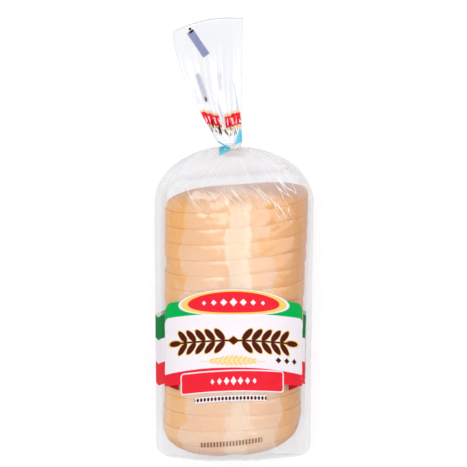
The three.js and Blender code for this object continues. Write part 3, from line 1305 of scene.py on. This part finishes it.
    def tail(self, t: np.ndarray) -> np.ndarray:
        """Rings of the tail without its pleats.

        Args:
            t: Where the rings are, from 0 past the tie to 1 at the mouth.

        Returns:
            The rings' points, by ring and by place round it.
        """
        t = t[:, None]
        q, upper = self.across_tail()
        turned = np.sin(t * math.pi / 2)
        low, high = self.tail_half
        half = low + (high - low) * (0.3 * t + 0.7 * turned)
        thick = self.tail_thick[0] + (self.tail_thick[1] - self.tail_thick[0]) * np.sqrt(t)
        leaf = thick / 2 * (1 - q**4) ** 0.6 * np.where(upper, 1, -1)
        lift = self.tail_arch * np.sin(t * math.pi * 0.6) - self.tail_droop * t * t
        points = np.empty((len(t), self.around, 3))
        points[..., 0] = self.tail_start_x - self.tail_lean * turned + half * q
        points[..., 1] = self.flare_y + self.tail_length * t
        points[..., 1] += t * t * (self.mouth_turn * q + self.mouth_bulge * (1 - q * q))
        points[..., 2] = self.neck[1] + lift + leaf
        return points


@dataclass
class FilmBag:
    """The clear film bag: its form, wrinkles, pleats and print."""

    form: BagForm = field(default_factory=BagForm)
    label: Label = field(default_factory=Label)
    end_rows: int = 22
    body_rows: int = 222
    shoulder_rows: int = 46
    neck_rows: int = 5
    tail_rows: int = 78
    cling: float = 0.0002
    cling_width: float = 0.0022
    gather_depth: float = 0.045
    pleat_depth: float = 0.0034
    lean_bulge: float = 0.0036
    shoulder_turn: float = 66.5
    tail_from: float = 0.158
    facets: tuple[Pair, ...] = ((0.034, 0.046), (0.015, 0.022), (0.0065, 0.009))
    facets_sunk: float = 0.25
    net: int = 160
    net_middle: Pair = (40.2, 60.4)
    seed: int = 5

    def build(self) -> bpy.types.Object:
        """Makes the bag.

        Returns:
            The bag's object, dressed and placed.
        """
        smooth_rows, kinds = self._rows()
        flat = self._girth(smooth_rows)
        points = smooth_rows + self._wrinkles(smooth_rows, kinds)
        points[0] = self._flatten(points[0])
        points[-1] = self._flatten(points[-1])
        mesh = self._mesh(points, flat)
        bag = add_object("film_bag", mesh)
        finish = FilmFinish()
        mesh.materials.append(finish.build("clear_film"))
        mesh.materials.append(finish.build("printed_film", self.label))
        mesh.materials.append(finish.build("tail_film", TailPrint()))
        self._choose_faces(mesh)
        return bag

    def _rows(self) -> tuple[np.ndarray, np.ndarray]:
        """The bag's smooth rings from its closed end to its mouth.

        Returns:
            The rings, and for each one how far it is along the tail, or -1 before it.
        """
        form = self.form
        angles = np.linspace(0, math.pi / 2, self.end_rows + 1)[:-1]
        end = form.end_y + form.end_depth * (1 - np.cos(angles))
        body = np.linspace(form.end_y + form.end_depth, form.shoulder_y, self.body_rows + 1)[:-1]
        turn = np.linspace(0, math.radians(self.shoulder_turn), self.shoulder_rows)
        shoulder = form.shoulder_y + form.shoulder_length * np.sin(turn)
        front = form.body(np.concatenate([end, body, shoulder]))
        tail_at = np.linspace(0, 1, self.tail_rows)
        tail = form.tail(tail_at)
        rings = [form.neck_ring(*ring) for ring in form.neck_rings]
        keys = [front[-2], front[-1], *rings, tail[0], tail[1]]
        neck = []
        for a, b, c, d in zip(keys, keys[1:], keys[2:], keys[3:]):
            for step in range(1, self.neck_rows + 1):
                t = step / self.neck_rows
                bend, twist = 2 * a - 5 * b + 4 * c - d, 3 * b - a - 3 * c + d
                neck.append(0.5 * (2 * b + (c - a) * t + bend * t**2 + twist * t**3))
        rows = np.concatenate([front, np.array(neck[:-1]), tail])
        kinds = np.full(len(rows), -1.0)
        kinds[-self.tail_rows :] = tail_at
        return rows, kinds

    def _girth(self, rows: np.ndarray) -> np.ndarray:
        """How far round the film each point is from the crown, positive to the right.

        Args:
            rows: The smooth rings.

        Returns:
            The distance by ring and place, with one more place for the closing seam.
        """
        closed = np.concatenate([rows, rows[:, :1]], 1)
        steps = np.linalg.norm(np.diff(closed, axis=1), axis=2)
        length = np.concatenate([np.zeros((len(rows), 1)), np.cumsum(steps, 1)], 1)
        crown = 2 * self.form.quarter
        return length[:, crown : crown + 1] - length

    def _normals(self, rows: np.ndarray) -> np.ndarray:
        """The rings' outward directions."""
        round_it = np.roll(rows, -1, 1) - np.roll(rows, 1, 1)
        along = np.gradient(rows, axis=0)
        normal = np.cross(along, round_it)
        length = np.linalg.norm(normal, axis=2, keepdims=True)
        return normal / np.maximum(length, 1e-12)

    def _wrinkles(self, rows: np.ndarray, tail_at: np.ndarray) -> np.ndarray:
        """What the film's creases, pleats and cling add to its smooth form.

        Args:
            rows: The smooth rings.
            tail_at: Each ring's place along the tail, or -1.

        Returns:
            The offsets by ring and place.
        """
        form = self.form
        turn = form.turns()[None, :]
        y = rows[..., 1]
        on_body = (tail_at < 0)[:, None]
        crown = np.clip(1.0 - np.abs(turn - 2.0) / 0.95, 0, 1)
        fall = np.zeros(rows.shape[:2])
        loaf = Loaf()
        for y_cut in loaf.cuts():
            off = (y - y_cut - loaf.slant(rows[..., 0], y_cut)) / self.cling_width
            fall -= self.cling * np.exp(-off * off) * smooth(0.05, 0.3, crown)
        gather = np.clip((y - form.dome_y) / form.dome_length, 0, 1) ** 2
        folds = zigzag(turn * 3 + 0.12 * np.sin(turn * math.pi)) * 0.55 + zigzag(turn * 4 + 0.3) * 0.3
        radius = np.linalg.norm(rows[..., (0, 2)] - np.array(form.neck), axis=2)
        fall -= np.where(on_body, self.gather_depth * gather * radius * (1 + folds), 0)
        fall += self._crumple(rows, tail_at)
        fall += self.lean_bulge * self._beside(rows)
        offsets = self._normals(rows) * fall[..., None]
        q, _ = form.across_tail()
        t = np.clip(tail_at, 0, 1)[:, None]
        depth = self.pleat_depth * smooth(0.0, 0.25, t) * (1 - 0.6 * t)
        drift = 0.18 * np.sin(t * 5.0 + 1.0)
        pleats = zigzag(q * 2.6 + 0.25 + drift) * 0.6 + zigzag(q * 1.3 - 0.1 + drift) * 0.5
        offsets[..., 2] += np.where(on_body, 0, depth * pleats * (1 - q**8))
        return offsets

    def _beside(self, rows: np.ndarray) -> np.ndarray:
        """Where the loaf leans against the film: on the right, towards the tail."""
        x, y, z = rows[..., 0], rows[..., 1], rows[..., 2]
        return smooth(0.03, 0.06, x) * smooth(0.035, 0.06, z) * np.exp(-np.square((y - 0.095) / 0.06))

    def _crumple(self, rows: np.ndarray, tail_at: np.ndarray) -> np.ndarray:
        """Flat facets with sharp creases between them, as crinkled film has.

        Args:
            rows: The smooth rings.
            tail_at: Each ring's place along the tail, or -1.

        Returns:
            How far each point is pushed out.
        """
        x, y, z = rows[..., 0], rows[..., 1], rows[..., 2]
        u = self._girth(rows)[:, :-1]
        heel = np.exp(-np.square((y - 0.114) / 0.020)) * smooth(0.05, 0.085, z)
        right = smooth(0.0, 0.045, x) * np.exp(-np.square((y - 0.118) / 0.024)) * smooth(0.02, 0.05, z)
        end = smooth(-0.108, -0.136, y)
        floor = smooth(0.002, 0.012, z) * 0.9 + 0.1
        tail = (tail_at >= 0)[:, None]
        broad = np.where(tail, 0.0, 0.0008) * floor
        middle = np.where(tail, 0.0003, 0.00028 + 0.0004 * heel + 0.0007 * right + 0.0003 * end) * floor
        small = np.where(tail, 0.0001, 0.0001 + 0.0002 * heel + 0.0005 * right + 0.0001 * end) * floor
        nets = [self._facets(u, y, *size, layer) for layer, size in enumerate(self.facets, 1)]
        pushed = broad * (nets[0] - self.facets_sunk) + middle * nets[1] + small * nets[2]
        return pushed * (1 - 0.7 * smooth(0.057, 0.070, np.abs(x)) * smooth(0.115, 0.095, y))

    def _facets(self, u: np.ndarray, v: np.ndarray, wide: float, long: float, layer: int) -> np.ndarray:
        """A net of flat triangles between random heights.

        Args:
            u: How far round the film each point is.
            v: Where it lies along the bag.
            wide: How wide the triangles are.
            long: How long they are.
            layer: Which of the nets this is.

        Returns:
            The heights, from -1 to 1.
        """
        shift = 0.31 * wide * np.sin(v / long * 2.3 + layer) + 0.18 * wide * np.sin(v / long * 5.1 + u / wide)
        a = (u + shift) / wide + self.net_middle[0]
        b = (v + 0.25 * long * np.sin(u / wide * 1.7 + layer * 2)) / long + self.net_middle[1]
        heights = np.random.default_rng(self.seed * 10 + layer).uniform(-1, 1, (self.net, self.net))
        i, j = (np.floor(at).astype(int) % (self.net - 1) for at in (a, b))
        fa, fb = a - np.floor(a), b - np.floor(b)
        h00, h10, h01, h11 = heights[i, j], heights[i + 1, j], heights[i, j + 1], heights[i + 1, j + 1]
        lower = h00 + (h10 - h00) * fa + (h11 - h10) * fb
        upper = h00 + (h11 - h01) * fa + (h01 - h00) * fb
        return np.where(fa > fb, lower, upper)

    def _flatten(self, ring: np.ndarray) -> np.ndarray:
        """Presses a ring's upper and lower halves onto each other.

        Args:
            ring: The ring's points.

        Returns:
            The ring with each upper point at the place of the lower one.
        """
        order = (2 * self.form.quarter - np.arange(self.form.around)) % self.form.around
        return (ring + ring[order]) / 2

    def _mesh(self, points: np.ndarray, girth: np.ndarray) -> bpy.types.Mesh:
        """Bends a grid into the bag and closes it.

        Args:
            points: The rings' points.
            girth: How far round the film each point is.

        Returns:
            The closed mesh, with the film's own UV map.
        """
        rows, around = points.shape[:2]
        bm = bmesh.new()
        uv = bm.loops.layers.uv.new("film")
        bmesh.ops.create_grid(bm, x_segments=around, y_segments=rows - 1, size=0.5)
        spot = {v: (round((v.co.y + 0.5) * (rows - 1)), round((v.co.x + 0.5) * around)) for v in bm.verts}
        for face in bm.faces:
            face.smooth = True
            for loop in face.loops:
                i, j = spot[loop.vert]
                loop[uv].uv = (girth[i, j], points[i, j % around, 1])
        for vert, (i, j) in spot.items():
            vert.co = points[i, j % around]
        bmesh.ops.remove_doubles(bm, verts=bm.verts, dist=1e-6)
        bmesh.ops.recalc_face_normals(bm, faces=bm.faces)
        return add_mesh(bm, "film_bag")

    def _choose_faces(self, mesh: bpy.types.Mesh) -> None:
        """Gives the label's and the tail's faces their printed film."""
        for face in mesh.polygons:
            y = face.center.y / MM
            if self.label.lowest < y < self.label.highest:
                face.material_index = 1
            elif y > self.tail_from / MM:
                face.material_index = 2


# The loaf


@dataclass(frozen=True)
class SlicePlan:
    """One slice's place and build."""

    name: str
    start: float
    thick: float
    shift: float
    size: float
    tone: float
    split_at: float
    split_wide: float
    heel: int


@dataclass(frozen=True)
class Rounding:
    """How far in from the loaf's end its sides, crown and base start to draw in."""

    end: float
    side: float
    crown: float
    base: float
    power: float = 2.4

    def share(self, y: float, length: float) -> float:
        """How much of the full size is left at a place along the loaf.

        Args:
            y: The place.
            length: Over how much of the loaf the size falls to nothing.

        Returns:
            A share from nearly 0 at the end to 1.
        """
        inward = abs(self.end - y)
        if inward >= length:
            return 1.0
        return max(1 - (1 - inward / length) ** self.power, 1e-4) ** (1 / self.power)


@dataclass
class Loaf:
    """The sliced loaf: slices cut from one tin loaf, a little out of line with each other."""

    length: float = 0.2515
    slices: int = 17
    gap: float = 0.0001
    half_width: float = 0.0660
    height: float = 0.1003
    base: float = 0.0012
    middle: float = 0.047
    points: int = 176
    crust: float = 0.0025
    cut_edge: tuple[Pair, ...] = ((0.0, 0.0006), (0.00015, 0.0002), (0.0006, 0.0))
    baked_round: float = 0.0128
    baked_start: float = 0.0001
    baked_rings: int = 12
    ring_step: float = 0.0022
    crown_power: float = 2.35
    base_power: float = 4.6
    rough_scale: float = 60.0
    rough_finer: float = 3.1
    rough: Pair = (0.0005, 0.00025)
    rough_depth: float = 0.002
    rough_from: float = 0.006
    split_depth: float = 0.0022
    fan: float = 0.8
    seed: int = 11
    closed_end: Rounding = Rounding(-0.1272, 0.029, 0.014, 0.018, 2.5)
    tail_end: Rounding = Rounding(0.1276, 0.014, 0.016, 0.018)

    def cuts(self) -> list[float]:
        """Where the loaf is cut along its middle line."""
        pitch = self.length / self.slices
        return [pitch * i - self.length / 2 for i in range(1, self.slices)]

    def lean(self, y: float) -> float:
        """How far the cuts lean at a place along the loaf: most at its ends."""
        return 0.012 + 0.048 * float(smooth(-0.03, 0.08, y)) + 0.034 * float(smooth(-0.06, -0.115, y))

    def slant(self, x: np.ndarray | float, y: float) -> np.ndarray | float:
        """How far forward a cut lies at a place across the loaf.

        Args:
            x: How far to the right of the middle line.
            y: Where the cut crosses the middle line.

        Returns:
            The distance towards the tail, more and more on the right where the slices fan out.
        """
        fan = self.fan * float(smooth(-0.02, 0.09, y))
        return x * self.lean(y) + np.square(np.maximum(x, 0.0)) * fan

    def plans(self) -> list[SlicePlan]:
        """Each slice's place and build, from the closed end to the tail."""
        rng = random.Random(self.seed)
        pitch = self.length / self.slices
        plans = []
        for i in range(self.slices):
            share = (i + 0.5) / self.slices
            heel = -1 if i == 0 else 1 if i == self.slices - 1 else 0
            wider = 0.02 * math.exp(-(((share - 0.95) / 0.25) ** 2))
            plans.append(
                SlicePlan(
                    name=f"slice_{i + 1:02d}",
                    start=pitch * i - self.length / 2,
                    thick=pitch - self.gap - rng.uniform(0, 0.00025),
                    shift=-0.0026 + 0.0064 * share + rng.uniform(-0.0008, 0.0008),
                    size=1 + wider + rng.uniform(-0.010, 0.005),
                    tone=rng.uniform(-0.5, 0.5) - 0.25 * share,
                    split_at=6.0 - 4.0 * float(smooth(0.25, 0.05, share)) + rng.uniform(-1.6, 1.6),
                    split_wide=9.5 + rng.uniform(-1.5, 2.5),
                    heel=heel,
                )
            )
        return plans

    def build(self) -> list[bpy.types.Object]:
        """Makes the slices.

        Returns:
            The slices' objects, dressed and placed.
        """
        material = BreadFinish().build()
        made = []
        for plan in self.plans():
            mesh = self._slice(plan)
            mesh.materials.append(material)
            made.append(add_object(plan.name, mesh))
        return made

    def _rim(self, angle: float, plan: SlicePlan, y: float) -> Vector:
        """A point of a slice's outline.

        Args:
            angle: Its direction from the slice's middle, 0 to the right and a quarter turn up.
            plan: The slice.
            y: Where the outline is along the loaf.

        Returns:
            The point, across and up.
        """
        end = self.closed_end if y < 0 else self.tail_end
        half = self.half_width * plan.size * end.share(y, end.side)
        up, across = math.sin(angle), math.cos(angle)
        if up >= 0:
            power = self.crown_power
            reach = (self.height - self.middle) * end.share(y, end.crown)
        else:
            power = self.base_power
            reach = (self.middle - self.base) * end.share(y, end.base)
            taper = 0.13 + 0.06 * float(smooth(0.095, 0.122, y))
            half *= 1 - taper * float(smooth(0.0, 1.0, -up))
        scale = (abs(across) ** power + abs(up) ** power) ** (-1 / power)
        x, z = half * across * scale, self.middle + reach * up * scale
        off = (x / MM - plan.split_at) / plan.split_wide
        if up > 0:
            lips = 0.35 * math.exp(-(((abs(off) - 1.15) / 0.3) ** 2))
            z += self.split_depth * (lips - math.exp(-((off * 1.15) ** 4)))
        return Vector((x, z))

    def _steps(self, plan: SlicePlan) -> list[Pair]:
        """A slice's build from its front cut to its back cut.

        Args:
            plan: The slice.

        Returns:
            For each ring, its place through the slice and how deep it lies inside the outline.
        """
        cut = [(0.0, self.crust), *self.cut_edge]
        turns = [math.pi / 2 * k / self.baked_rings for k in range(self.baked_rings)]
        baked = [(self.baked_round * (1 - math.cos(turn)) + self.baked_start, 0.0) for turn in turns]
        first = baked if plan.heel < 0 else cut
        last = baked if plan.heel > 0 else cut
        start, stop = first[-1][0], plan.thick - last[-1][0]
        between = max(2, round((stop - start) / self.ring_step))
        middle = [(start + (stop - start) * k / between, 0.0) for k in range(1, between)]
        return first + middle + [(plan.thick - at, deep) for at, deep in reversed(last)]

    def _slice(self, plan: SlicePlan) -> bpy.types.Mesh:
        """Builds one slice by extruding its first face step by step.

        Args:
            plan: The slice.

        Returns:
            The slice's mesh, with its tone, split and depth.
        """
        bm = bmesh.new()
        deep_layer = bm.verts.layers.float.new("depth")
        angle_layer = bm.verts.layers.float.new("angle")
        bmesh.ops.create_circle(bm, cap_ends=True, segments=self.points, radius=1.0)
        for vert in bm.verts:
            vert[angle_layer] = math.atan2(vert.co.y, vert.co.x)
        face = bm.faces[:][0]
        for number, (at, deep) in enumerate(self._steps(plan)):
            if number:
                inner = face
                grown = bmesh.ops.extrude_face_region(bm, geom=[inner])["geom"]
                face = next(g for g in grown if isinstance(g, bmesh.types.BMFace))
                if number > 1:
                    bmesh.ops.delete(bm, geom=[inner], context="FACES_ONLY")
            for vert in face.verts:
                vert.co = self._spot(plan, vert[angle_layer], plan.start + at, deep)
                vert[deep_layer] = deep / MM
        for face in bm.faces:
            face.smooth = True
        bmesh.ops.recalc_face_normals(bm, faces=bm.faces)
        bmesh.ops.translate(bm, verts=bm.verts, vec=(plan.shift, 0.0, 0.0))
        self._sort(bm)
        mesh = add_mesh(bm, plan.name)
        carried = {"tone": plan.tone, "split_at": plan.split_at, "split_wide": plan.split_wide}
        for name, value in carried.items():
            layer = mesh.attributes.new(name, "FLOAT", "POINT")
            layer.data.foreach_set("value", [value] * len(mesh.vertices))
        return mesh

    def _sort(self, bm: bmesh.types.BMesh) -> None:
        """Gives a slice's faces the same order in each run, whatever order the extruding left."""
        bm.verts.index_update()
        total = len(bm.verts)
        spots = {face: [vert.index for vert in face.verts] for face in bm.faces}
        bm.faces.sort(key=lambda face: max(spots[face]) * total + min(spots[face]))

    def _spot(self, plan: SlicePlan, angle: float, y: float, deep: float) -> Vector:
        """A point of a slice.

        Args:
            plan: The slice.
            angle: The point's direction from the slice's middle.
            y: Where it is along the loaf.
            deep: How far inside the outline it is.

        Returns:
            The point, before the slice is pushed out of line.
        """
        rim = self._rim(angle, plan, y)
        if deep < 0.001:
            deep *= 0.2 + 0.6 * float(smooth(0.15, 0.7, abs(math.cos(angle))))
        inward = (Vector((0.0, self.middle)) - rim).normalized()
        spot = rim + inward * deep
        at = Vector((spot.x * self.rough_scale, y * self.rough_scale, spot.y * self.rough_scale))
        large, small = self.rough
        rough = noise.noise(at) * large + noise.noise(at * self.rough_finer) * small
        if deep < self.rough_depth and spot.y > self.rough_from:
            spot -= inward * rough
        return Vector((spot.x, y + float(self.slant(spot.x, y)), spot.y))


# The tie


@dataclass
class Tie:
    """The paper tie: the frame's own piece in its finish."""

    node: str = "tie"

    def dress(self) -> bpy.types.Object:
        """Gives the frame's tie its paper finish and returns it."""
        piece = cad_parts[self.node]
        piece.data.materials.clear()
        piece.data.materials.append(PaperFinish().build())
        return piece


# The studio


@dataclass(frozen=True)
class Softbox:
    """A rectangular studio light."""

    name: str
    place: tuple[float, float, float]
    size: Pair
    power: float
    aim: tuple[float, float, float] = (0.0, 0.05, 0.05)

    def light(self) -> None:
        """Hangs the light and turns it to what it lights."""
        data = bpy.data.lights.new(self.name, "AREA")
        data.shape = "RECTANGLE"
        data.size, data.size_y = self.size
        data.energy = self.power
        lamp = add_object(self.name, data)
        lamp.location = self.place
        sight = Vector(self.aim) - Vector(self.place)
        lamp.rotation_euler = sight.to_track_quat("-Z", "Y").to_euler()


@dataclass
class Studio:
    """A pale floor, soft light and the camera that looks down on the bag."""

    aim: tuple[float, float, float] = (0.0, 0.0915, 0.1035)
    distance: float = 1.4
    tilt: float = 9.5
    view_width: float = 0.425
    sensor: float = 36.0
    far: float = 20.0
    sky: float = 0.55
    floor_size: float = 5.0
    floor_drop: float = 0.0004
    lights: tuple[Softbox, ...] = (
        Softbox("key", (-0.62, 0.3, 1.3), (0.6, 1.1), 8.2),
        Softbox("fill", (0.75, 0.15, 1.2), (0.9, 1.2), 5.6),
        Softbox("top", (0.15, 0.75, 1.5), (1.0, 0.6), 4.2),
    )

    def build(self) -> None:
        """Sets the floor, the world, the lights and the camera."""
        self._floor()
        world = bpy.data.worlds.new("studio")
        world.use_nodes = True
        background = world.node_tree.nodes["Background"].inputs
        background["Color"].default_value = (1.0, 1.0, 1.0, 1.0)
        background["Strength"].default_value = self.sky
        bpy.context.scene.world = world
        for light in self.lights:
            light.light()
        self._camera()
        bpy.context.scene.view_settings.view_transform = "Standard"

    def _floor(self) -> None:
        """Lays the floor just under the bag."""
        bm = bmesh.new()
        bmesh.ops.create_grid(bm, x_segments=2, y_segments=2, size=self.floor_size / 2)
        bmesh.ops.translate(bm, verts=bm.verts, vec=(0.0, 0.0, -self.floor_drop))
        mesh = add_mesh(bm, "floor")
        mesh.materials.append(FloorFinish().build())
        floor = add_object("floor", mesh)

    def _camera(self) -> None:
        """Sets the camera above the bag, with the tail at the top of the picture."""
        tilt = math.radians(self.tilt)
        right = Vector((1.0, 0.0, 0.0))
        back = Vector((0.0, math.sin(tilt), math.cos(tilt)))
        up = back.cross(right)
        data = bpy.data.cameras.new("camera")
        data.sensor_width = self.sensor
        data.lens = data.sensor_width * self.distance / self.view_width
        data.clip_end = self.far
        camera = add_object("camera", data)
        turn = Matrix((right, up, back)).transposed().to_4x4()
        camera.matrix_world = Matrix.Translation(Vector(self.aim) + back * self.distance) @ turn
        bpy.context.scene.camera = camera


def report(piece: bpy.types.Object, slot: Slot) -> None:
    """Says what a piece is and how many faces it has."""
    log.info("%s in %s: %d faces", piece.name, slot.value, len(piece.data.polygons))


def settle(piece: bpy.types.Object, slot: Slot) -> None:
    """Makes a new piece ride on the bag's body, and logs it with its material slot.

    Args:
        piece: The piece.
        slot: The slot that its finish belongs to.
    """
    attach(piece, ROOT)
    report(piece, slot)


def main() -> None:
    """Builds the loaf, the bag, the tie and the studio, in that order."""
    logging.basicConfig(level=logging.INFO, format="%(message)s")
    for piece in Loaf().build():
        settle(piece, Slot.BREAD)
    bag = FilmBag().build()
    settle(bag, Slot.FILM)
    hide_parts("bag")
    report(Tie().dress(), Slot.TIE)
    Studio().build()


if __name__ == "__main__":
    main()
